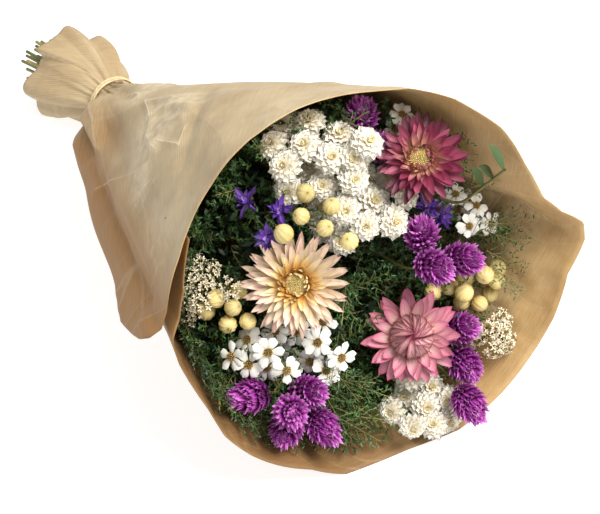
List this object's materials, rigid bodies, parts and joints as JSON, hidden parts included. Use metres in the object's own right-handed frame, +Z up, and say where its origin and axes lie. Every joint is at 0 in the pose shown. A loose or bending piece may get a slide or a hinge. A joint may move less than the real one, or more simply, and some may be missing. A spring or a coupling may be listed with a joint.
{
  "type": "mixed flower bouquet",
  "caption": "Bouquet of dried strawflowers, button flowers, daisies, seed pods, purple canary grass and ferns, in a cone of kraft paper tied with raffia.",
  "frame": {"origin": "on the ground under the middle of the bouquet's bounding box, with the bouquet lying on its side", "axes": "+Z up; -Y towards the flowers, +Y towards the cut stems; +X to the right as one looks into the flowers"},
  "size_m": [0.2306, 0.417, 0.1863],
  "materials": {
    "kraft_paper": "matt, ribbed",
    "raffia": "matt fibre",
    "stem_green": "dry stem",
    "fern_green": "dried foliage",
    "leaf_green": "dried leaf",
    "petal_peach": "dry petal",
    "petal_pink": "dry petal",
    "petal_burgundy": "dry petal",
    "disc_yellow": "dry petal",
    "button_white": "dry petal",
    "daisy_white": "dry petal",
    "pod_straw": "dry petal",
    "canary_purple": "dry petal",
    "larkspur_violet": "dry petal",
    "statice_cream": "dry petal"
  },
  "bodies": {
    "root": {"burgundy_strawflower_bracts": "petal_burgundy", "burgundy_strawflower_heart": "disc_yellow", "burgundy_strawflower_stem": "stem_green", "button_spray_bottom": "button_white", "button_spray_middle": "button_white", "button_spray_top": "button_white", "canary_bottom_left": "canary_purple", "canary_bottom_low": "canary_purple", "canary_bottom_middle": "canary_purple", "canary_bottom_right": "canary_purple", "canary_bottom_top": "canary_purple", "canary_low_middle": "canary_purple", "canary_low_outer": "canary_purple", "canary_low_upper": "canary_purple", "canary_right_middle": "canary_purple", "canary_right_outer": "canary_purple", "canary_right_upper": "canary_purple", "canary_top_middle": "canary_purple", "canary_top_outer": "canary_purple", "daisy_spray_left": "daisy_white", "daisy_spray_middle": "daisy_white", "daisy_spray_right": "daisy_white", "daisy_spray_top": "daisy_white", "fern_centre": "fern_green", "fern_left_lower": "fern_green", "fern_left_top": "fern_green", "fern_left_upper": "fern_green", "fern_low_left": "fern_green", "fern_low_middle": "fern_green", "fern_low_outer": "fern_green", "fern_right": "fern_green", "fern_right_low": "fern_green", "fern_right_top": "fern_green", "fern_rim_left": "fern_green", "fern_rim_low": "fern_green", "fern_top": "fern_green", "fern_top_right": "fern_green", "kraft_wrap": "kraft_paper", "larkspur_left": "larkspur_violet", "larkspur_right": "larkspur_violet", "leaf_sprig": "leaf_green", "peach_strawflower_bracts": "petal_peach", "peach_strawflower_heart": "disc_yellow", "peach_strawflower_stem": "stem_green", "pink_strawflower_bracts": "petal_pink", "pink_strawflower_heart": "petal_pink", "pink_strawflower_stem": "stem_green", "pod_spray_left": "pod_straw", "pod_spray_middle": "pod_straw", "pod_spray_outer": "pod_straw", "pod_spray_right": "pod_straw", "raffia_tie": "raffia", "statice_left": "statice_cream", "statice_right": "statice_cream"}
  },
  "joints": []
}
